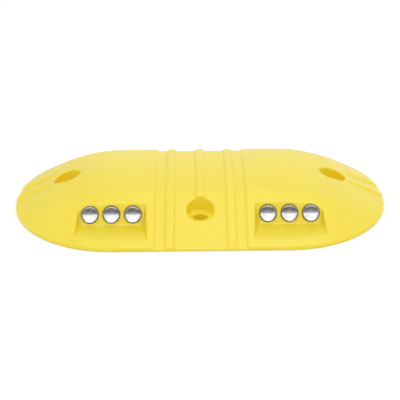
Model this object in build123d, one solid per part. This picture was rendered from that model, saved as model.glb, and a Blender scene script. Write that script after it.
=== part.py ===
"""Large moulded road stud: a ribbed plastic body with glass lenses seated in metal reflector cups.

Millimetres. X runs along the stud, traffic comes along Y, Z is up and the road is at Z = 0.
"""
from build123d import *
from math import atan, cos, pi, radians, sin, sqrt, tan
import os

# Outer form of the body
LENGTH = 400.0              # tip to tip
WIDTH = 250.0               # front edge to rear edge
HEIGHT = 40.5               # crown of the deck above the road
LIP_HEIGHT = 4.0            # upright edge round the base
STRAIGHT_LENGTH = 176.0     # straight stretch of the front and rear edges
DECK_WIDTH = 112.0          # front crease to rear crease
DECK_CROWN = 4.4            # rise of the deck from crease to middle
DECK_LENGTH = 245.0         # where the end ramps would meet the flat of the deck
SHOULDER_LENGTH = 300.0     # tip to tip, at the height of the creases
RAMP_TIP_RISE = 0.7         # end ramps reach the tips this far above the lip
RAMP_ROUND = 220.0          # radius from deck to end ramp
RAMP_FLAT_COUNT = 6         # flats in that round

# Shallow bands and raised ribs across the middle
BAND_ZONE = 94.5            # length of the banded zone
BAND_DEPTH = 2.0
RIB_WIDTH = 8.2
RIB_SPACING = 31.2

# Drain grooves from the end holes to the tips
GROOVE_WIDTH = 19.0
GROOVE_DEPTH = 2.0
GROOVE_SPACING = 27.0
GROOVE_GAP = 4.0            # from the rim of the end hole to the grooves

# Anchor holes with counterbores for the bolt heads
ANCHOR_BORE = 15.0
ANCHOR_HEAD_BORE = 28.5
ANCHOR_SEAT_HEIGHT = 16.0   # floor of the counterbores above the road
END_HOLE_INSET = 56.0       # from each tip
SIDE_HOLE_INSET = 47.0      # from the front and rear edges
BOSS_WALL = 5.0

# Lens pockets in the front and rear slopes
POCKET_CENTRE = 91.3        # from the middle of the stud, along X
POCKET_WIDTH = 63.4         # along the foot of the back wall
POCKET_SPLAY = 10.5         # slant of each side wall towards the mouth, in degrees
POCKET_DRAFT = 15.0         # slant of each side wall with height, in degrees
POCKET_REACH = 42.8         # from the front edge to the foot of the back wall
POCKET_FLOOR = 8.2          # height of the level floor
POCKET_LEAN = 27.5          # backward lean of the back wall, in degrees

# Glass lenses
LENS_PITCH = 22.0
LENS_SIDE_COUNT = 16        # flats round a lens and its cup
LENS_HEIGHT = 10.2          # lens axis above the pocket floor, at the back wall
LENS_DIAMETER = 15.2
LENS_DOME = 3.8
DOME_SHARES = (0, 0.45, 0.8, 0.97)  # rings of the dome, as shares of its rise
LENS_BODY = 6.0             # straight barrel between the domes
LENS_SHOULDER = 1.0         # flat seat round the rear dome
LENS_REAR_DOME = 4.5
LENS_TAIL_RADIUS = 2.5      # blunt end of the rear dome

# Metal reflector cups
CUP_WALL = 0.7
CUP_RIM_WIDTH = 0.55        # rim beyond the cup's wall
CUP_RIM_HEIGHT = 1.0        # rim above the pocket's back wall
CUP_CLEARANCE = 0.15        # lens in cup and cup in socket, on the radius
BOWL_CLEARANCE = 0.3        # behind the lens and behind the cup

# Hollow underside
ROOF = 5.0                  # wall under the outer surface, measured upright
ROOF_FLAT_COUNT = 2         # flats in the round of the ceiling
FOOT_WIDTH = 8.0            # rim that stands on the road
LONG_WEB_PITCH = 36.0       # webs along the stud
CROSS_WEB_PITCH = 72.0      # webs across it
WEB_WIDTH = 4.0
SOCKET_WALL = 3.0           # behind the sockets
POCKET_WALL = 4.0           # beside the pockets

# Sizes that follow from those above
MARGIN = 20.0               # cutting tools and blanks run past the body by this much
WALL_OVERRUN = 3.0          # sloping walls are drawn this far above the deck, then cut by it
CREASE_HEIGHT = HEIGHT - DECK_CROWN
SLOPE_RUN = (WIDTH - DECK_WIDTH) / 2
SHOULDER_RUN = (LENGTH - SHOULDER_LENGTH) / 2
SLOPE_RISE = CREASE_HEIGHT - LIP_HEIGHT
CROWN_RADIUS = ((DECK_WIDTH / 2) ** 2 + DECK_CROWN ** 2) / (2 * DECK_CROWN)
END_HOLE_X = LENGTH / 2 - END_HOLE_INSET
SIDE_HOLE_Y = WIDTH / 2 - SIDE_HOLE_INSET
POCKET_FOOT_Y = WIDTH / 2 - POCKET_REACH
CUP_INNER_RADIUS = LENS_DIAMETER / 2 + CUP_CLEARANCE
CUP_OUTER_RADIUS = CUP_INNER_RADIUS + CUP_WALL
RIM_RADIUS = CUP_OUTER_RADIUS + CUP_RIM_WIDTH
SOCKET_RADIUS = CUP_OUTER_RADIUS + CUP_CLEARANCE
LEDGE_DEPTH = LENS_BODY - CUP_RIM_HEIGHT
BOWL_DEPTH = LENS_REAR_DOME + BOWL_CLEARANCE
SOCKET_DEPTH = LEDGE_DEPTH + BOWL_DEPTH + CUP_WALL + BOWL_CLEARANCE


def end_face(length, width, height):
    """Half ellipse that ends the plan outline at one tip, at a height."""
    arc = EllipticalCenterArc((0, 0), (length - STRAIGHT_LENGTH) / 2, width / 2, -90, arc_size=180)
    chord = Line((0, width / 2), (0, -width / 2))
    return Pos(STRAIGHT_LENGTH / 2, 0, height) * make_face([arc, chord])


def tapered_oval(low, high):
    """Block between two plan outlines, each a length, a width and a height."""
    section = Polyline(
        (-low[1] / 2, low[2]),
        (low[1] / 2, low[2]),
        (high[1] / 2, high[2]),
        (-high[1] / 2, high[2]),
        close=True,
    )
    middle = extrude(Plane.YZ * make_face(section), STRAIGHT_LENGTH / 2, both=True)
    end = loft([end_face(*low), end_face(*high)], ruled=True)
    return middle + end + mirror(end, about=Plane.YZ)


def wall_outline(height):
    """Plan outline of the sloping walls at a height."""
    share = (height - LIP_HEIGHT) / SLOPE_RISE
    return LENGTH - 2 * SHOULDER_RUN * share, WIDTH - 2 * SLOPE_RUN * share, height


def outer_form():
    """Plain outside of the body: lip and sloping walls under the crowned arch."""
    lip = tapered_oval((LENGTH, WIDTH, 0), (LENGTH, WIDTH, LIP_HEIGHT))
    walls = tapered_oval((LENGTH, WIDTH, LIP_HEIGHT), wall_outline(HEIGHT + WALL_OVERRUN))
    return (lip + walls) & crowned_arch(RAMP_FLAT_COUNT)


def hollow_form():
    """Room under the roof, inside the foot, before the webs and bosses are taken out of it."""
    foot = (LENGTH - 2 * FOOT_WIDTH, WIDTH - 2 * FOOT_WIDTH, 0)
    length, width, height = wall_outline(HEIGHT + WALL_OVERRUN)
    room = tapered_oval(foot, (length, width, height - ROOF))
    return room & (Pos(0, 0, -ROOF) * crowned_arch(ROOF_FLAT_COUNT))


def crowned_arch(flats):
    """Crowned deck swept over the stud from ramp to ramp, deeper than the body is high."""
    tip_x = LENGTH / 2
    tip_z = LIP_HEIGHT + RAMP_TIP_RISE
    fall = (HEIGHT - tip_z) / (tip_x - DECK_LENGTH / 2)
    turn = atan(fall)
    round_x = DECK_LENGTH / 2 - RAMP_ROUND * tan(turn / 2)
    ramp = []
    for step in range(flats + 1):
        angle = turn * step / flats
        ramp.append((round_x + RAMP_ROUND * sin(angle), HEIGHT - RAMP_ROUND * (1 - cos(angle))))
    ramp.append((tip_x + MARGIN, tip_z - fall * MARGIN))
    points = [(-x, 0, z) for x, z in reversed(ramp)] + [(x, 0, z) for x, z in ramp]
    path = Polyline(*points)
    half = WIDTH / 2 + MARGIN
    sag = CROWN_RADIUS - sqrt(CROWN_RADIUS ** 2 - half ** 2)
    floor = -(HEIGHT + MARGIN / 2)
    section = make_face([
        ThreePointArc((-half, -sag), (0, 0), (half, -sag)),
        Line((half, -sag), (half, floor)),
        Line((half, floor), (-half, floor)),
        Line((-half, floor), (-half, -sag)),
    ])
    start = Plane(origin=path @ 0, x_dir=(0, 1, 0), z_dir=path % 0)
    return sweep(start * section, path=path, transition=Transition.RIGHT)


def strip(x_low, x_high, y_low, y_high):
    """Upright block over a rectangle of the plan."""
    tall = HEIGHT + MARGIN
    block = Box(x_high - x_low, y_high - y_low, tall, align=(Align.MIN, Align.MIN, Align.MIN))
    return Pos(x_low, y_low, 0) * block


def band_blocks():
    """Plan of the shallow bands: the middle zone without its three ribs."""
    half = BAND_ZONE / 2
    reach = WIDTH / 2 + MARGIN
    rib = RIB_WIDTH / 2
    blocks = strip(-half, half, -reach, reach)
    for x in (-RIB_SPACING, RIB_SPACING):
        blocks -= strip(x - rib, x + rib, -reach, reach)
    return blocks - strip(-rib, rib, -SIDE_HOLE_Y, SIDE_HOLE_Y)


def groove_blocks():
    """Plan of the two narrow grooves at each end."""
    start = END_HOLE_X + ANCHOR_HEAD_BORE / 2 + GROOVE_GAP
    stop = LENGTH / 2 + MARGIN
    blocks = []
    for side in (-1, 1):
        y = side * GROOVE_SPACING / 2
        low = y - GROOVE_WIDTH / 2
        high = y + GROOVE_WIDTH / 2
        blocks.append(strip(start, stop, low, high))
        blocks.append(strip(-stop, -start, low, high))
    return blocks


def anchor_points():
    """Plan positions of the four anchor holes."""
    return [(END_HOLE_X, 0), (-END_HOLE_X, 0), (0, SIDE_HOLE_Y), (0, -SIDE_HOLE_Y)]


def anchor_cut(x, y):
    """Through hole and counterbore of one anchor."""
    up = (Align.CENTER, Align.CENTER, Align.MIN)
    hole = Pos(x, y, -MARGIN) * Cylinder(ANCHOR_BORE / 2, HEIGHT + MARGIN, align=up)
    head = Pos(x, y, ANCHOR_SEAT_HEIGHT) * Cylinder(ANCHOR_HEAD_BORE / 2, HEIGHT, align=up)
    return hole + head


def wall_plane(side, x, height):
    """Plane on a pocket's back wall, facing out of the pocket; side is -1 at the front, 1 at the rear."""
    lean = radians(POCKET_LEAN)
    y = side * (POCKET_FOOT_Y - height * tan(lean))
    origin = (x, y, POCKET_FLOOR + height)
    return Plane(origin=origin, x_dir=(-side, 0, 0), z_dir=(0, side, tan(lean)))


def flat_sided(*loops):
    """Solid with flat faces from loop to loop of corners, closed by its first and last loop."""
    outlines = [loops[0], loops[-1]]
    for low, high in zip(loops, loops[1:]):
        for here in range(len(low)):
            outlines.append([low[here - 1], low[here], high[here], high[here - 1]])
    faces = [Face(Wire.make_polygon(outline)) for outline in outlines]
    return Solid(Shell(faces))


def wedge(side, end, behind, beside, floor):
    """Pocket's form from a floor up past the deck and out past the edge, grown behind and beside it."""
    lean = radians(POCKET_LEAN)
    splay = tan(radians(POCKET_SPLAY))
    draft = tan(radians(POCKET_DRAFT))
    top = HEIGHT + MARGIN
    front_y = WIDTH / 2 + MARGIN
    back_y = POCKET_FOOT_Y - behind / cos(lean)
    foot_y = back_y - (floor - POCKET_FLOOR) * tan(lean)
    head_y = back_y - (top - POCKET_FLOOR) * tan(lean)
    loops = []
    for low_y, high_y in ((foot_y, head_y), (front_y, front_y)):
        half = POCKET_WIDTH / 2 + beside
        low_half = half + (low_y - POCKET_FOOT_Y) * splay + (floor - POCKET_FLOOR) * draft
        high_half = half + (high_y - POCKET_FOOT_Y) * splay + (top - POCKET_FLOOR) * draft
        loops.append([
            (-low_half, low_y, floor),
            (low_half, low_y, floor),
            (high_half, high_y, top),
            (-high_half, high_y, top),
        ])
    form = Pos(end * POCKET_CENTRE, 0, 0) * flat_sided(*loops)
    return form if side > 0 else mirror(form, about=Plane.XZ)


def pocket_cut(side, end):
    """Open pocket in the slope."""
    return wedge(side, end, 0, 0, POCKET_FLOOR)


def pocket_block(side, end):
    """Plastic under and beside a pocket, and behind it where the sockets are."""
    return wedge(side, end, SOCKET_DEPTH + SOCKET_WALL, POCKET_WALL, 0)


def turned(*rings):
    """Round piece with flats, through rings of a radius at a height, in order of height."""
    turns = [2 * pi * step / LENS_SIDE_COUNT for step in range(LENS_SIDE_COUNT)]
    loops = [[(radius * cos(turn), radius * sin(turn), z) for turn in turns] for radius, z in rings]
    return flat_sided(*loops)


def dome_ring(radius, base, height, share):
    """Ring of a spherical cap: share 0 is its edge and 1 would be its apex."""
    ball = (radius ** 2 + height ** 2) / (2 * height)
    rise = height * share
    return sqrt(ball ** 2 - (ball - height + rise) ** 2), base + rise


def lens_solid():
    """Glass lens: front dome, straight barrel, flat shoulder and rear dome."""
    radius = LENS_DIAMETER / 2
    top = CUP_RIM_HEIGHT
    tail = -LEDGE_DEPTH - LENS_REAR_DOME
    dome = [dome_ring(radius, top, LENS_DOME, share) for share in DOME_SHARES]
    front = turned((radius, -LEDGE_DEPTH), *dome)
    rear = turned((LENS_TAIL_RADIUS, tail), (radius - LENS_SHOULDER, -LEDGE_DEPTH))
    return front + rear


def cup_solid():
    """Pressed metal cup: rim on the wall, barrel, ledge for the lens and reflecting bowl."""
    bowl = LENS_DIAMETER / 2 - LENS_SHOULDER + BOWL_CLEARANCE
    bowl_floor = LENS_TAIL_RADIUS + BOWL_CLEARANCE
    bottom = -LEDGE_DEPTH - BOWL_DEPTH
    rim = turned((RIM_RADIUS, 0), (CUP_INNER_RADIUS + CUP_WALL / 2, CUP_RIM_HEIGHT))
    barrel = turned(
        (bowl_floor + CUP_WALL, bottom - CUP_WALL),
        (CUP_OUTER_RADIUS, -LEDGE_DEPTH),
        (CUP_OUTER_RADIUS, 0),
    )
    seat = turned((CUP_INNER_RADIUS, -LEDGE_DEPTH), (CUP_INNER_RADIUS, CUP_RIM_HEIGHT))
    hollow = turned((bowl_floor, bottom), (bowl, -LEDGE_DEPTH))
    return rim + barrel - seat - hollow


def lens_places():
    """Name and wall plane of every lens, from the front left to the rear right."""
    places = []
    for side, side_name in ((-1, "front"), (1, "rear")):
        for end, end_name in ((-1, "left"), (1, "right")):
            for step, step_name in ((-1, "inner"), (0, "middle"), (1, "outer")):
                x = end * (POCKET_CENTRE + step * LENS_PITCH)
                plane = wall_plane(side, x, LENS_HEIGHT)
                places.append((f"{side_name}_{end_name}_{step_name}", plane))
    return places


def socket_cut():
    """Blind bore for one cup, open towards the pocket."""
    down = (Align.CENTER, Align.CENTER, Align.MAX)
    return Cylinder(SOCKET_RADIUS, SOCKET_DEPTH, align=down)


def web_places(half_length, pitch):
    """Places of evenly spaced webs, one of them in the middle."""
    count = int(half_length / pitch)
    return [step * pitch for step in range(-count, count + 1)]


def underside_webs():
    """Grid of webs that stands on the road, centred on the stud."""
    x_reach = LENGTH / 2 + MARGIN
    y_reach = WIDTH / 2 + MARGIN
    half = WEB_WIDTH / 2
    webs = [strip(x - half, x + half, -y_reach, y_reach) for x in web_places(LENGTH / 2, CROSS_WEB_PITCH)]
    webs += [strip(-x_reach, x_reach, y - half, y + half) for y in web_places(WIDTH / 2, LONG_WEB_PITCH)]
    return webs


def body_solid():
    """The moulding: outer form, bands, grooves, pockets and holes on top, webs and bosses below."""
    form = outer_form()
    outer = form - (band_blocks() - Pos(0, 0, -BAND_DEPTH) * form)
    lowered = Pos(0, 0, -GROOVE_DEPTH) * form
    outer -= [block - lowered for block in groove_blocks()]

    keep = underside_webs()
    up = (Align.CENTER, Align.CENTER, Align.MIN)
    keep += [
        Pos(x, y, 0) * Cylinder(ANCHOR_HEAD_BORE / 2 + BOSS_WALL, HEIGHT, align=up)
        for x, y in anchor_points()
    ]
    corners = [(side, end) for side in (-1, 1) for end in (-1, 1)]
    keep += [pocket_block(side, end) for side, end in corners]
    hollow = hollow_form() - keep

    cuts = [anchor_cut(x, y) for x, y in anchor_points()]
    cuts += [pocket_cut(side, end) for side, end in corners]
    cuts += [plane.location * socket_cut() for _, plane in lens_places()]
    return outer - hollow - cuts


def main():
    os.makedirs("parts", exist_ok=True)
    export_step(body_solid(), "parts/body.step")
    for name, plane in lens_places():
        export_step(plane.location * lens_solid(), f"parts/lens_{name}.step")
        export_step(plane.location * cup_solid(), f"parts/reflector_cup_{name}.step")


main()
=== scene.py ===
"""Looks of a moulded road stud: satin yellow body, glass lenses in bright metal cups, white studio.

Metres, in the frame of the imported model: X along the stud, traffic along Y, Z up from the road.
"""

import math

import bmesh
import bpy
from mathutils import Matrix, Vector


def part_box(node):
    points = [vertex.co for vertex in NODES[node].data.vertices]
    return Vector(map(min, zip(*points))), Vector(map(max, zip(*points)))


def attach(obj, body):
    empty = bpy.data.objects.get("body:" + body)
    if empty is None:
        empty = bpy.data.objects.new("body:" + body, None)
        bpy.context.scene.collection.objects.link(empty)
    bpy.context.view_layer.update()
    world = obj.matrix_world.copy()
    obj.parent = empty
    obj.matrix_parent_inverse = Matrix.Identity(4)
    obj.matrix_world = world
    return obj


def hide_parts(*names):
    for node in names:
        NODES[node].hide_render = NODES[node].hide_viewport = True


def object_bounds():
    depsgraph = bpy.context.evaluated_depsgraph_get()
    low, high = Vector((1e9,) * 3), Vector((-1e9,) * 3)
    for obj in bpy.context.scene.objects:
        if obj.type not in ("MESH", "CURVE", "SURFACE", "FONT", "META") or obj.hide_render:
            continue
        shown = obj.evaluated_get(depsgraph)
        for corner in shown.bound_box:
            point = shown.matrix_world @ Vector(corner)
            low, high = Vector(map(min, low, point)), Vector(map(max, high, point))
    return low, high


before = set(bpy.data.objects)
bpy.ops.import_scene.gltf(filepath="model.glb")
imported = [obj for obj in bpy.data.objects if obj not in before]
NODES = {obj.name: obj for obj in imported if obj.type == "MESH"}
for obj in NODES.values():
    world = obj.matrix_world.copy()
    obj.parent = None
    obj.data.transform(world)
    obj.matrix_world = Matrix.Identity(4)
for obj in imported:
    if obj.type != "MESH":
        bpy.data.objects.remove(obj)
CAD_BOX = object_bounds()
BODY = "root"

# Sockets of a Mix node between colours, whose names serve every kind of data
MIX_SHARE = 0
MIX_FIRST = 6
MIX_SECOND = 7
MIX_COLOUR = 2

# Surfaces; scales are in features per metre, roughly
PLASTIC_SCALES = (26, 1100)         # clouds and grain
METAL_SCALES = (300, 2500)          # clouds and grain
PLASTIC_GLOSS_SWING = 0.05          # either side of the set roughness
PLASTIC_GRAIN_STRENGTH = 0.6
PLASTIC_LIGHT_SPREAD = (1.0, 0.75, 0.25)  # red, green and blue, as shares of the light depth
METAL_GLOSS = (0.10, 0.24)          # roughness of the best and the worst polish
METAL_GRAIN_STRENGTH = 0.3
METAL_GRAIN_DEPTH = 0.00002
GLASS_ROUGHNESS = 0.015
GLASS_IOR = 1.52
EDGE_SOFTNESS = 0.5                 # share of each rounding pass that is applied

# Outlines of the turned pieces, in metres
ON_AXIS = 1e-9                      # points nearer the axis than this close the piece
END_RING = 1e-5                     # points this near the tail belong to its end
DOME_STEPS = 12
BOWL_STEPS = 10
TAIL_STEPS = 8
FRONT_CORNER = 0.00005              # soft corner of the glass at its front edge
SEAT_CORNER = 0.0002                # soft corner of the glass at its seat
RIM_ROUND = 0.00025                 # width of the rounded inner edge of the rim
RIM_ROUND_SHARE = 0.92              # height of that edge, as a share of the rim's
RIM_FLAT = 0.0002                   # flat on top of the rim before it rolls over
ROLL_ANGLES = (80, -60)             # roll of the rim, in degrees
ROLL_STEPS = 8
UNDER_RIM = 0.0002                  # foot of the roll on the wall
CUP_CORNER = 0.0003                 # soft corners of the cup's outside

# Studio, in metres
FLOOR_REACH = 30.0
FLOOR_DROP = 0.0002                 # gap between the stud and the floor
FLOOR_ROUGHNESS = 0.9
LIFT_DISTANCES = (0.3, 2.5)         # from the middle of the stud
LIFT_LEVELS = (0.12, 0.36)          # added white at those distances
CARD_NEAR = 0.16
CARD_FAR = 2.2
CARD_TOP = 1.15
CARD_HALF = 3.5
CARD_PALE_FROM = 0.3                # height from which the upright card pales
FLAG_BACK = 1.5
FLAG_SIDES = (-0.45, -2.5)
FLAG_TOP = 1.4
LARGE_LAMP_PLACE = (0.3, -0.15, 1.8)
LARGE_LAMP_SIZE = 1.4
FRONT_LAMP_PLACE = (-0.2, -1.25, 1.75)
FRONT_LAMP_SIZE = 1.2
SENSOR_WIDTH = 36                   # millimetres

bl_info = {
    "name": "Road Stud Looks",
    "version": (1, 0, 0),
    "blender": (4, 5, 0),
    "location": "View3D > Sidebar > Stud",
    "description": "Dresses the packed road stud and sets its studio",
    "category": "Object",
}


class StudMouldingSettings(bpy.types.PropertyGroup):
    """Sizes and colours of the moulded body."""

    colour: bpy.props.FloatVectorProperty(
        name="Plastic", description="Colour of the moulded plastic",
        subtype="COLOR", size=3, min=0, max=1, default=(0.985, 0.755, 0.028),
    )
    pale: bpy.props.FloatVectorProperty(
        name="Pale plastic", description="Colour of the paler clouds in the plastic",
        subtype="COLOR", size=3, min=0, max=1, default=(0.985, 0.775, 0.042),
    )
    roughness: bpy.props.FloatProperty(
        name="Roughness", description="Gloss of the moulded skin",
        subtype="FACTOR", min=0, max=1, default=0.33,
    )
    sheen: bpy.props.FloatProperty(
        name="Sheen", description="Strength of the reflections on the moulded skin",
        subtype="FACTOR", min=0, max=1, default=0.7,
    )
    depth: bpy.props.FloatProperty(
        name="Light depth", description="How far light spreads inside the plastic",
        unit="LENGTH", min=0, default=0.002,
    )
    depth_share: bpy.props.FloatProperty(
        name="Light share", description="Share of the light that spreads inside the plastic",
        subtype="FACTOR", min=0, max=1, default=0.5,
    )
    voxel: bpy.props.FloatProperty(
        name="Surface step", description="Spacing of the points on the rounded surface",
        unit="LENGTH", min=0.0004, default=0.0009,
    )
    rounding: bpy.props.IntProperty(
        name="Rounding", description="Passes that round the moulded edges", min=0, default=3,
    )
    kept_faces: bpy.props.FloatProperty(
        name="Kept faces", description="Share of the rounded surface's faces that is kept",
        subtype="FACTOR", min=0.05, max=1, default=0.2,
    )
    grain: bpy.props.FloatProperty(
        name="Grain depth", description="Depth of the fine moulded grain",
        unit="LENGTH", min=0, default=0.00003,
    )


class StudOpticSettings(bpy.types.PropertyGroup):
    """Sizes and colours of the lenses and their cups."""

    lean: bpy.props.FloatProperty(
        name="Lean", description="Upward tilt of the lens axes", subtype="ANGLE", default=math.radians(27.5),
    )
    radius: bpy.props.FloatProperty(
        name="Lens radius", description="Radius of the glass barrel", unit="LENGTH", default=0.0076,
    )
    dome: bpy.props.FloatProperty(
        name="Front dome", description="Rise of the front dome over its edge", unit="LENGTH", default=0.0038,
    )
    edge: bpy.props.FloatProperty(
        name="Front edge", description="Width of the flat edge round the front dome",
        unit="LENGTH", default=0.0004,
    )
    barrel: bpy.props.FloatProperty(
        name="Barrel", description="Length of the straight glass barrel", unit="LENGTH", default=0.006,
    )
    shoulder: bpy.props.FloatProperty(
        name="Shoulder", description="Width of the flat seat round the rear dome",
        unit="LENGTH", default=0.0005,
    )
    rear_dome: bpy.props.FloatProperty(
        name="Rear dome", description="Depth of the rear dome", unit="LENGTH", default=0.0004,
    )
    lens_depth: bpy.props.FloatProperty(
        name="Lens depth", description="Tail of the lens behind the pocket's wall",
        unit="LENGTH", default=0.0095,
    )
    cup_depth: bpy.props.FloatProperty(
        name="Cup depth", description="Tail of the cup behind the pocket's wall",
        unit="LENGTH", default=0.0105,
    )
    rim: bpy.props.FloatProperty(
        name="Rim radius", description="Outer radius of the rolled rim", unit="LENGTH", default=0.009,
    )
    rim_height: bpy.props.FloatProperty(
        name="Rim height", description="Height of the rolled rim over the wall", unit="LENGTH", default=0.001,
    )
    wall: bpy.props.FloatProperty(
        name="Cup wall", description="Thickness of the pressed metal", unit="LENGTH", default=0.0007,
    )
    clearance: bpy.props.FloatProperty(
        name="Clearance", description="Gap between glass and cup", unit="LENGTH", default=0.00015,
    )
    metal: bpy.props.FloatVectorProperty(
        name="Metal", description="Colour of the bright pressed metal",
        subtype="COLOR", size=3, min=0, max=1, default=(0.96, 0.955, 0.95),
    )
    # Painted shade: a dark colour on the outside of each rim that stands in for the shadow in the gap where
    # the rim meets the plastic.
    rim_shade: bpy.props.FloatVectorProperty(
        name="Rim_shade", description="Colour of the grime round the outside of the rims",
        subtype="COLOR", size=3, min=0, max=1, default=(0.120, 0.062, 0.018),
    )
    unshaded_radius: bpy.props.FloatProperty(
        name="Unshaded radius", description="Radius within which the rims stay bright",
        unit="LENGTH", default=0.0081,
    )
    rim_shade_radius: bpy.props.FloatProperty(
        name="Grime radius", description="Radius from which the rims are dark with grime",
        unit="LENGTH", default=0.00835,
    )
    glass: bpy.props.FloatVectorProperty(
        name="Glass", description="Tint of the lens glass",
        subtype="COLOR", size=3, min=0, max=1, default=(0.99, 0.99, 0.99),
    )
    steps: bpy.props.IntProperty(
        name="Steps", description="Points round each turned piece", min=16, default=56,
    )


class StudStageSettings(bpy.types.PropertyGroup):
    """Camera, lamps, panels and floor."""

    elevation: bpy.props.FloatProperty(
        name="Elevation", description="Height of the camera over the horizon", subtype="ANGLE",
        default=math.radians(24.64),
    )
    azimuth: bpy.props.FloatProperty(
        name="Azimuth", description="Step of the camera round the stud, to its left", subtype="ANGLE",
        default=math.radians(0.35),
    )
    roll: bpy.props.FloatProperty(
        name="Roll", description="Tilt of the camera about its own axis", subtype="ANGLE",
        default=math.radians(0.41),
    )
    distance: bpy.props.FloatProperty(
        name="Distance", description="Camera to the middle of the base", unit="LENGTH", default=1.175,
    )
    aim: bpy.props.FloatVectorProperty(
        name="Aim", description="Step of the camera to its right and up", unit="LENGTH", size=2,
        default=(0.00015, -0.00127),
    )
    lens: bpy.props.FloatProperty(
        name="Focal length", description="Focal length of the camera, in millimetres", default=96.37,
    )
    floor: bpy.props.FloatVectorProperty(
        name="Floor", description="Colour of the studio floor",
        subtype="COLOR", size=3, min=0, max=1, default=(0.97, 0.97, 0.97),
    )
    card: bpy.props.FloatVectorProperty(
        name="Card", description="Colour of the cards that the lenses show",
        subtype="COLOR", size=3, min=0, max=1, default=(0.045, 0.043, 0.045),
    )
    card_top: bpy.props.FloatVectorProperty(
        name="Card top", description="Colour of the cards at their upper edge",
        subtype="COLOR", size=3, min=0, max=1, default=(0.50, 0.49, 0.50),
    )
    flag: bpy.props.FloatVectorProperty(
        name="Flag", description="Colour of the flag that calms the reflections on the left",
        subtype="COLOR", size=3, min=0, max=1, default=(0.80, 0.80, 0.80),
    )
    ambient: bpy.props.FloatProperty(
        name="Ambient", description="Level of the white studio around the stud", min=0, default=0.74,
    )
    key: bpy.props.FloatProperty(
        name="Large lamp", description="Power of the large lamp overhead, in watts", min=0, default=5.9,
    )
    fill: bpy.props.FloatProperty(
        name="Front lamp", description="Power of the soft lamp in front, in watts", min=0, default=4.4,
    )


def settings(part):
    """One of the settings groups of the scene."""
    return getattr(bpy.context.scene, "stud_" + part)


def add_node(tree, kind, **values):
    """New node in a tree, with its properties or its inputs set by name."""
    node = tree.nodes.new(kind)
    for name, value in values.items():
        label = name.replace("_", " ").title()
        if label in node.inputs:
            node.inputs[label].default_value = value
        else:
            setattr(node, name, value)
    return node


def new_object(name, data):
    """Object with some data, linked to the scene."""
    item = bpy.data.objects.new(name, data)
    bpy.context.scene.collection.objects.link(item)
    return item


def colour_mix(tree, first, second):
    """Mix node between two colours."""
    node = add_node(tree, "ShaderNodeMix", data_type="RGBA")
    node.inputs[MIX_FIRST].default_value = (*first, 1)
    node.inputs[MIX_SECOND].default_value = (*second, 1)
    return node


def clouds_group():
    """Shader group of broad clouds and fine grain, both from 0 to 1, in the piece's own metres."""
    name = "soft clouds and grain"
    if name in bpy.data.node_groups:
        return bpy.data.node_groups[name]
    tree = bpy.data.node_groups.new(name, "ShaderNodeTree")
    ports = tree.interface
    ports.new_socket("Cloud Scale", in_out="INPUT", socket_type="NodeSocketFloat")
    ports.new_socket("Grain Scale", in_out="INPUT", socket_type="NodeSocketFloat")
    ports.new_socket("Clouds", in_out="OUTPUT", socket_type="NodeSocketFloat")
    ports.new_socket("Grain", in_out="OUTPUT", socket_type="NodeSocketFloat")
    start = tree.nodes.new("NodeGroupInput")
    stop = tree.nodes.new("NodeGroupOutput")
    place = tree.nodes.new("ShaderNodeTexCoord")
    broad = add_node(tree, "ShaderNodeTexNoise", detail=3.0, roughness=0.55)
    fine = add_node(tree, "ShaderNodeTexNoise", detail=2.0, roughness=0.6)
    spread = add_node(tree, "ShaderNodeMapRange", from_min=0.3, from_max=0.7)
    links = tree.links
    links.new(place.outputs["Object"], broad.inputs["Vector"])
    links.new(place.outputs["Object"], fine.inputs["Vector"])
    links.new(start.outputs["Cloud Scale"], broad.inputs["Scale"])
    links.new(start.outputs["Grain Scale"], fine.inputs["Scale"])
    links.new(broad.outputs["Fac"], spread.inputs["Value"])
    links.new(spread.outputs["Result"], stop.inputs["Clouds"])
    links.new(fine.outputs["Fac"], stop.inputs["Grain"])
    return tree


def clouds_node(tree, scales):
    """Node of the clouds and grain, at a scale for each."""
    node = tree.nodes.new("ShaderNodeGroup")
    node.node_tree = clouds_group()
    node.inputs["Cloud Scale"].default_value = scales[0]
    node.inputs["Grain Scale"].default_value = scales[1]
    return node


def blank_material(name):
    """Node material with a Principled shader, its node tree and that shader."""
    material = bpy.data.materials.new(name)
    material.use_nodes = True
    return material, material.node_tree, material.node_tree.nodes["Principled BSDF"]


def moulded_plastic():
    """Satin yellow plastic: faint paler clouds, fine grain, uneven gloss, light spread in its skin."""
    wish = settings("moulding")
    material, tree, shader = blank_material("moulded yellow plastic")
    links = tree.links
    skin = clouds_node(tree, PLASTIC_SCALES)
    tint = colour_mix(tree, wish.colour, wish.pale)
    glossy = wish.roughness - PLASTIC_GLOSS_SWING
    dull = wish.roughness + PLASTIC_GLOSS_SWING
    gloss = add_node(tree, "ShaderNodeMapRange", to_min=glossy, to_max=dull)
    bump = add_node(tree, "ShaderNodeBump", strength=PLASTIC_GRAIN_STRENGTH, distance=wish.grain)
    shader.inputs["Specular IOR Level"].default_value = wish.sheen
    shader.inputs["Subsurface Weight"].default_value = wish.depth_share
    shader.inputs["Subsurface Radius"].default_value = PLASTIC_LIGHT_SPREAD
    shader.inputs["Subsurface Scale"].default_value = wish.depth
    links.new(skin.outputs["Clouds"], tint.inputs[MIX_SHARE])
    links.new(tint.outputs[MIX_COLOUR], shader.inputs["Base Color"])
    links.new(skin.outputs["Clouds"], gloss.inputs["Value"])
    links.new(gloss.outputs["Result"], shader.inputs["Roughness"])
    links.new(skin.outputs["Grain"], bump.inputs["Height"])
    links.new(bump.outputs["Normal"], shader.inputs["Normal"])
    return material


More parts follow.
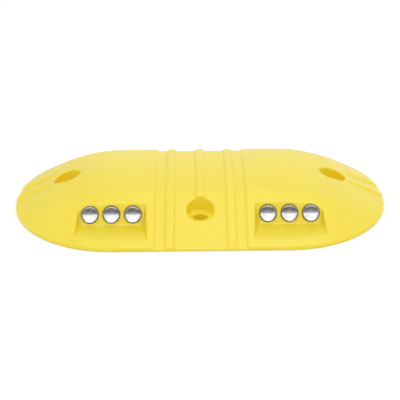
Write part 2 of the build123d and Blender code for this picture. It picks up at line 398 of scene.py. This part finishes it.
def pressed_metal():
    """Bright pressed metal with an uneven polish; the outside of the rim is painted dark, a painted shade of
    the gap where the rim meets the plastic.
    """
    wish = settings("optics")
    material, tree, shader = blank_material("bright pressed metal")
    links = tree.links
    skin = clouds_node(tree, METAL_SCALES)
    place = tree.nodes.new("ShaderNodeTexCoord")
    flat = add_node(tree, "ShaderNodeVectorMath", operation="MULTIPLY")
    flat.inputs[1].default_value = (1, 1, 0)
    away = add_node(tree, "ShaderNodeVectorMath", operation="LENGTH")
    # Painted shade mask: beyond these radii the rim turns dark, matt and non-metallic, standing in for the
    # shadow in the gap round the rim.
    edge = add_node(tree, "ShaderNodeMapRange", from_min=wish.unshaded_radius, from_max=wish.rim_shade_radius)
    tint = colour_mix(tree, wish.metal, wish.rim_shade)
    unshaded_metal = add_node(tree, "ShaderNodeMapRange", to_min=1.0, to_max=0.0)
    gloss = add_node(tree, "ShaderNodeMapRange", to_min=METAL_GLOSS[0], to_max=METAL_GLOSS[1])
    matte = add_node(tree, "ShaderNodeMath", operation="MAXIMUM")
    bump = add_node(tree, "ShaderNodeBump", strength=METAL_GRAIN_STRENGTH, distance=METAL_GRAIN_DEPTH)
    links.new(place.outputs["Object"], flat.inputs[0])
    links.new(flat.outputs["Vector"], away.inputs[0])
    links.new(away.outputs["Value"], edge.inputs["Value"])
    links.new(edge.outputs["Result"], tint.inputs[MIX_SHARE])
    links.new(edge.outputs["Result"], unshaded_metal.inputs["Value"])
    links.new(edge.outputs["Result"], matte.inputs[1])
    links.new(unshaded_metal.outputs["Result"], shader.inputs["Metallic"])
    links.new(tint.outputs[MIX_COLOUR], shader.inputs["Base Color"])
    links.new(skin.outputs["Clouds"], gloss.inputs["Value"])
    links.new(gloss.outputs["Result"], matte.inputs[0])
    links.new(matte.outputs[0], shader.inputs["Roughness"])
    links.new(skin.outputs["Grain"], bump.inputs["Height"])
    links.new(bump.outputs["Normal"], shader.inputs["Normal"])
    return material


def lens_glass():
    """Clear pressed glass."""
    wish = settings("optics")
    material, _, shader = blank_material("clear pressed glass")
    shader.inputs["Base Color"].default_value = (*wish.glass, 1)
    shader.inputs["Roughness"].default_value = GLASS_ROUGHNESS
    shader.inputs["IOR"].default_value = GLASS_IOR
    shader.inputs["Transmission Weight"].default_value = 1
    return material


def arc_points(centre, radius, start, stop, count):
    """Points of an arc in the profile plane; angles in degrees from the radial direction."""
    points = []
    for step in range(count + 1):
        angle = math.radians(start + (stop - start) * step / count)
        points.append((centre[0] + radius * math.cos(angle), centre[1] + radius * math.sin(angle)))
    return points


def cap_points(radius, base, height, count):
    """Profile of a spherical cap from its edge to just short of its apex; a negative height hangs down."""
    ball = (radius ** 2 + height ** 2) / (2 * abs(height))
    centre = base + height - math.copysign(ball, height)
    half = math.asin(min(1, radius / ball))
    points = []
    for step in range(count):
        angle = half * (1 - step / count)
        points.append((ball * math.sin(angle), centre + math.copysign(ball * math.cos(angle), height)))
    return points


def turned_mesh(name, profile, steps):
    """Closed mesh turned about Z from a profile of radius and height; its two ends close on the axis."""
    mesh = bmesh.new()
    rings = []
    for radius, height in profile:
        if radius < ON_AXIS:
            rings.append([mesh.verts.new((0, 0, height))])
            continue
        ring = []
        for step in range(steps):
            angle = 2 * math.pi * step / steps
            ring.append(mesh.verts.new((radius * math.cos(angle), radius * math.sin(angle), height)))
        rings.append(ring)
    for low, high in zip(rings, rings[1:]):
        for step in range(steps):
            after = (step + 1) % steps
            corners = [low[step % len(low)], low[after % len(low)]]
            corners += [high[after % len(high)], high[step % len(high)]]
            mesh.faces.new(list(dict.fromkeys(corners)))
    bmesh.ops.recalc_face_normals(mesh, faces=mesh.faces)
    data = bpy.data.meshes.new(name)
    mesh.to_mesh(data)
    mesh.free()
    for face in data.polygons:
        face.use_smooth = True
    return data


def lens_frame(node):
    """Turn of one lens or cup, middle of its tail, and its axis, which points out of the pocket."""
    wish = settings("optics")
    low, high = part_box(node)
    side = math.copysign(1, (low + high).y)
    axis = Vector((0, side * math.cos(wish.lean), math.sin(wish.lean)))
    across = Vector((-side, 0, 0))
    turn = Matrix((across, axis.cross(across), axis)).transposed().to_4x4()
    points = [vertex.co for vertex in NODES[node].data.vertices]
    tail = min(point.dot(axis) for point in points)
    ring = [point for point in points if point.dot(axis) - tail < END_RING]
    foot = sum(ring, Vector()) / len(ring)
    return turn, foot, axis


def lens_profile():
    """Half outline of the glass, from the front apex round to the rear one."""
    wish = settings("optics")
    ledge = wish.rim_height - wish.barrel
    front = cap_points(wish.radius - wish.edge, wish.rim_height, wish.dome, DOME_STEPS)
    rear = cap_points(wish.radius - wish.shoulder, ledge, -wish.rear_dome, BOWL_STEPS)
    corner = [(wish.radius - FRONT_CORNER, wish.rim_height)]
    corner += [(wish.radius, wish.rim_height - FRONT_CORNER)]
    corner += [(wish.radius, ledge + SEAT_CORNER), (wish.radius - SEAT_CORNER, ledge)]
    profile = [(0, wish.rim_height + wish.dome)] + front[::-1] + corner + rear
    return profile + [(0, ledge - wish.rear_dome)]


def cup_profile():
    """Half outline of the cup, from the inside of its bowl over the rolled rim to its outside."""
    wish = settings("optics")
    inner = wish.radius + wish.clearance
    outer = inner + wish.wall
    ledge = wish.rim_height - wish.barrel
    gap = 2 * wish.clearance
    bowl = wish.radius - wish.shoulder + gap
    depth = wish.rear_dome + gap
    inside = cap_points(bowl, ledge, -depth, BOWL_STEPS)[::-1]
    roll = wish.rim_height / 2
    middle = wish.rim - roll
    rim = [(inner, roll), (inner + RIM_ROUND, wish.rim_height * RIM_ROUND_SHARE)]
    rim += [(middle - RIM_FLAT, wish.rim_height)]
    rim += arc_points((middle, roll), roll, *ROLL_ANGLES, ROLL_STEPS)
    rim += [(outer + UNDER_RIM, 0), (outer, -CUP_CORNER)]
    drop = depth + wish.wall - CUP_CORNER
    outside = cap_points(outer - CUP_CORNER, ledge - CUP_CORNER, -drop, TAIL_STEPS)
    profile = [(0, ledge - depth)] + inside + [(inner, ledge)] + rim + [(outer, ledge)] + outside
    return profile + [(0, ledge - depth - wish.wall)]


def seat_turned(prefix, new_name, profile, depth, material):
    """One turned piece in place of each CAD node whose name starts with the prefix.

    The depth is that of the node's tail behind the pocket's wall, where the profile has its zero.
    """
    data = turned_mesh(new_name, profile, settings("optics").steps)
    data.materials.append(material)
    nodes = sorted(name for name in NODES if name.startswith(prefix))
    if not nodes:
        raise RuntimeError("the frame has no node that starts with " + prefix)
    for node in nodes:
        piece = new_object(node.replace(prefix, new_name), data)
        turn, foot, axis = lens_frame(node)
        piece.matrix_world = Matrix.Translation(foot + axis * depth) @ turn
        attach(piece, BODY)
        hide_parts(node)


class STUD_OT_mould_body(bpy.types.Operator):
    """Round the edges of the moulded body and give it its plastic"""

    bl_idname = "stud.mould_body"
    bl_label = "Mould Body"

    def execute(self, context):
        wish = settings("moulding")
        body = NODES["body"]
        body.data.materials.clear()
        body.data.materials.append(moulded_plastic())
        skin = body.modifiers.new("skin", "REMESH")
        skin.mode = "VOXEL"
        skin.voxel_size = wish.voxel
        skin.use_smooth_shade = True
        soft = body.modifiers.new("rounded edges", "SMOOTH")
        soft.factor = EDGE_SOFTNESS
        soft.iterations = wish.rounding
        slim = body.modifiers.new("fewer faces", "DECIMATE")
        slim.ratio = wish.kept_faces
        return {"FINISHED"}


class STUD_OT_seat_cups(bpy.types.Operator):
    """Turn the metal reflector cups and seat them in their sockets"""

    bl_idname = "stud.seat_cups"
    bl_label = "Seat Cups"

    def execute(self, context):
        profile = cup_profile()
        depth = settings("optics").cup_depth
        seat_turned("reflector_cup", "pressed_cup", profile, depth, pressed_metal())
        return {"FINISHED"}


class STUD_OT_seat_lenses(bpy.types.Operator):
    """Turn the glass lenses and seat them in their cups"""

    bl_idname = "stud.seat_lenses"
    bl_label = "Seat Lenses"

    def execute(self, context):
        profile = lens_profile()
        depth = settings("optics").lens_depth
        seat_turned("lens", "glass_lens", profile, depth, lens_glass())
        return {"FINISHED"}


def studio_floor():
    """Plain pale floor that keeps the shadow of the stud and whitens away from it."""
    wish = settings("stage")
    reach = FLOOR_REACH
    data = bpy.data.meshes.new("studio_floor")
    corners = [(-reach, -reach, 0), (reach, -reach, 0), (reach, reach, 0), (-reach, reach, 0)]
    data.from_pydata(corners, [], [(0, 1, 2, 3)])
    floor = new_object("studio_floor", data)
    floor.location.z = CAD_BOX[0].z - FLOOR_DROP
    material, tree, shader = blank_material("pale floor")
    shader.inputs["Base Color"].default_value = (*wish.floor, 1)
    shader.inputs["Roughness"].default_value = FLOOR_ROUGHNESS
    shader.inputs["Specular IOR Level"].default_value = 0
    shader.inputs["Emission Color"].default_value = (1, 1, 1, 1)
    links = tree.links
    place = tree.nodes.new("ShaderNodeTexCoord")
    away = add_node(tree, "ShaderNodeVectorMath", operation="LENGTH")
    lift = add_node(
        tree, "ShaderNodeMapRange",
        from_min=LIFT_DISTANCES[0], from_max=LIFT_DISTANCES[1], to_min=LIFT_LEVELS[0], to_max=LIFT_LEVELS[1],
    )
    path = tree.nodes.new("ShaderNodeLightPath")
    seen = add_node(tree, "ShaderNodeMath", operation="MULTIPLY")
    links.new(place.outputs["Object"], away.inputs[0])
    links.new(away.outputs["Value"], lift.inputs["Value"])
    links.new(lift.outputs["Result"], seen.inputs[0])
    links.new(path.outputs["Is Camera Ray"], seen.inputs[1])
    links.new(seen.outputs[0], shader.inputs["Emission Strength"])
    data.materials.append(material)


def reflected_panel(name, corners, faces):
    """Matt panel of the studio that is never seen directly, its node tree and its shader."""
    data = bpy.data.meshes.new(name)
    data.from_pydata(corners, [], faces)
    panel = new_object(name, data)
    material, tree, shader = blank_material(name)
    shader.inputs["Roughness"].default_value = 1
    data.materials.append(material)
    panel.visible_camera = False
    panel.visible_diffuse = False
    panel.visible_shadow = False
    return panel, tree, shader


def studio_card(name, side):
    """Card on the floor and upright ahead of the lenses of one side, seen by their glass.

    It is dark below and pales towards its top. The front one also darkens what the pockets' walls
    reflect.
    """
    wish = settings("stage")
    corners = []
    for y, z in ((CARD_NEAR, 0), (CARD_FAR, 0), (CARD_FAR, CARD_TOP)):
        corners += [(-CARD_HALF, side * y, z), (CARD_HALF, side * y, z)]
    card, tree, shader = reflected_panel(name, corners, [(0, 1, 3, 2), (2, 3, 5, 4)])
    card.visible_glossy = side < 0
    links = tree.links
    place = tree.nodes.new("ShaderNodeTexCoord")
    axes = tree.nodes.new("ShaderNodeSeparateXYZ")
    rise = add_node(tree, "ShaderNodeMapRange", from_min=CARD_PALE_FROM, from_max=CARD_TOP)
    tint = colour_mix(tree, wish.card, wish.card_top)
    links.new(place.outputs["Object"], axes.inputs[0])
    links.new(axes.outputs["Z"], rise.inputs["Value"])
    links.new(rise.outputs["Result"], tint.inputs[MIX_SHARE])
    links.new(tint.outputs[MIX_COLOUR], shader.inputs["Base Color"])


def studio_flag():
    """Pale grey flag behind the stud on its left, seen by its reflections alone."""
    wish = settings("stage")
    near, far = FLAG_SIDES
    foot = [(near, FLAG_BACK, 0), (far, FLAG_BACK, 0)]
    top = [(far, FLAG_BACK, FLAG_TOP), (near, FLAG_BACK, FLAG_TOP)]
    flag, _, shader = reflected_panel("rear_flag", foot + top, [(0, 1, 2, 3)])
    flag.visible_transmission = False
    shader.inputs["Base Color"].default_value = (*wish.flag, 1)


def studio_world():
    """White studio: full white to the camera, glass and metal, softer as light on the stud."""
    wish = settings("stage")
    world = bpy.data.worlds.new("white studio")
    bpy.context.scene.world = world
    world.use_nodes = True
    tree = world.node_tree
    links = tree.links
    sky = tree.nodes["Background"]
    path = tree.nodes.new("ShaderNodeLightPath")
    seen = add_node(tree, "ShaderNodeMath", operation="MAXIMUM")
    clear = add_node(tree, "ShaderNodeMath", operation="MAXIMUM")
    level = add_node(tree, "ShaderNodeMapRange", to_min=wish.ambient, to_max=1.0)
    sky.inputs["Color"].default_value = (1, 1, 1, 1)
    links.new(path.outputs["Is Camera Ray"], seen.inputs[0])
    links.new(path.outputs["Is Glossy Ray"], seen.inputs[1])
    links.new(seen.outputs[0], clear.inputs[0])
    links.new(path.outputs["Is Transmission Ray"], clear.inputs[1])
    links.new(clear.outputs[0], level.inputs["Value"])
    links.new(level.outputs["Result"], sky.inputs["Strength"])


def studio_lamp(name, place, size, power):
    """Square area lamp that faces the middle of the stud."""
    data = bpy.data.lights.new(name, "AREA")
    data.size = size
    data.energy = power
    lamp = new_object(name, data)
    lamp.location = place
    lamp.rotation_mode = "QUATERNION"
    lamp.rotation_quaternion = (-Vector(place)).to_track_quat("-Z", "Y")


def studio_camera():
    """Camera at the photograph's angle, a little rolled."""
    wish = settings("stage")
    data = bpy.data.cameras.new("studio_camera")
    data.lens = wish.lens
    data.sensor_width = SENSOR_WIDTH
    camera = new_object("studio_camera", data)
    round_stud = Matrix.Rotation(-wish.azimuth, 3, "Z")
    back = round_stud @ Vector((0, -math.cos(wish.elevation), math.sin(wish.elevation)))
    tilt = Matrix.Rotation(-wish.roll, 3, back)
    right = tilt @ round_stud @ Vector((1, 0, 0))
    up = back.cross(right)
    place = back * wish.distance + right * wish.aim[0] + up * wish.aim[1]
    camera.matrix_world = Matrix.Translation(place) @ Matrix((right, up, back)).transposed().to_4x4()
    bpy.context.scene.camera = camera


class STUD_OT_set_stage(bpy.types.Operator):
    """Set the floor, the white studio, its cards and flag, the lamps and the camera"""

    bl_idname = "stud.set_stage"
    bl_label = "Set Stage"

    def execute(self, context):
        wish = settings("stage")
        studio_floor()
        studio_world()
        studio_card("front_card", -1)
        studio_card("rear_card", 1)
        studio_flag()
        studio_lamp("large lamp", LARGE_LAMP_PLACE, LARGE_LAMP_SIZE, wish.key)
        studio_lamp("front lamp", FRONT_LAMP_PLACE, FRONT_LAMP_SIZE, wish.fill)
        studio_camera()
        context.scene.view_settings.view_transform = "Standard"
        return {"FINISHED"}


class STUD_PT_looks(bpy.types.Panel):
    """Steps that dress the stud, in order"""

    bl_idname = "STUD_PT_looks"
    bl_label = "Road Stud"
    bl_space_type = "VIEW_3D"
    bl_region_type = "UI"
    bl_category = "Stud"

    def draw(self, context):
        for part, steps in STEPS.items():
            box = self.layout.box()
            group = getattr(context.scene, "stud_" + part)
            for name in group.__annotations__:
                box.prop(group, name)
            for step in steps:
                box.operator(step.bl_idname)


STEPS = {
    "moulding": (STUD_OT_mould_body,),
    "optics": (STUD_OT_seat_cups, STUD_OT_seat_lenses),
    "stage": (STUD_OT_set_stage,),
}
GROUPS = {"moulding": StudMouldingSettings, "optics": StudOpticSettings, "stage": StudStageSettings}
CLASSES = (
    *GROUPS.values(),
    STUD_OT_mould_body,
    STUD_OT_seat_cups,
    STUD_OT_seat_lenses,
    STUD_OT_set_stage,
    STUD_PT_looks,
)


def register():
    for item in CLASSES:
        bpy.utils.register_class(item)
    for part, group in GROUPS.items():
        setattr(bpy.types.Scene, "stud_" + part, bpy.props.PointerProperty(type=group))


def unregister():
    for part in GROUPS:
        delattr(bpy.types.Scene, "stud_" + part)
    for item in reversed(CLASSES):
        bpy.utils.unregister_class(item)


def main():
    register()
    bpy.ops.stud.mould_body()
    bpy.ops.stud.seat_cups()
    bpy.ops.stud.seat_lenses()
    bpy.ops.stud.set_stage()


if __name__ == "__main__":
    main()
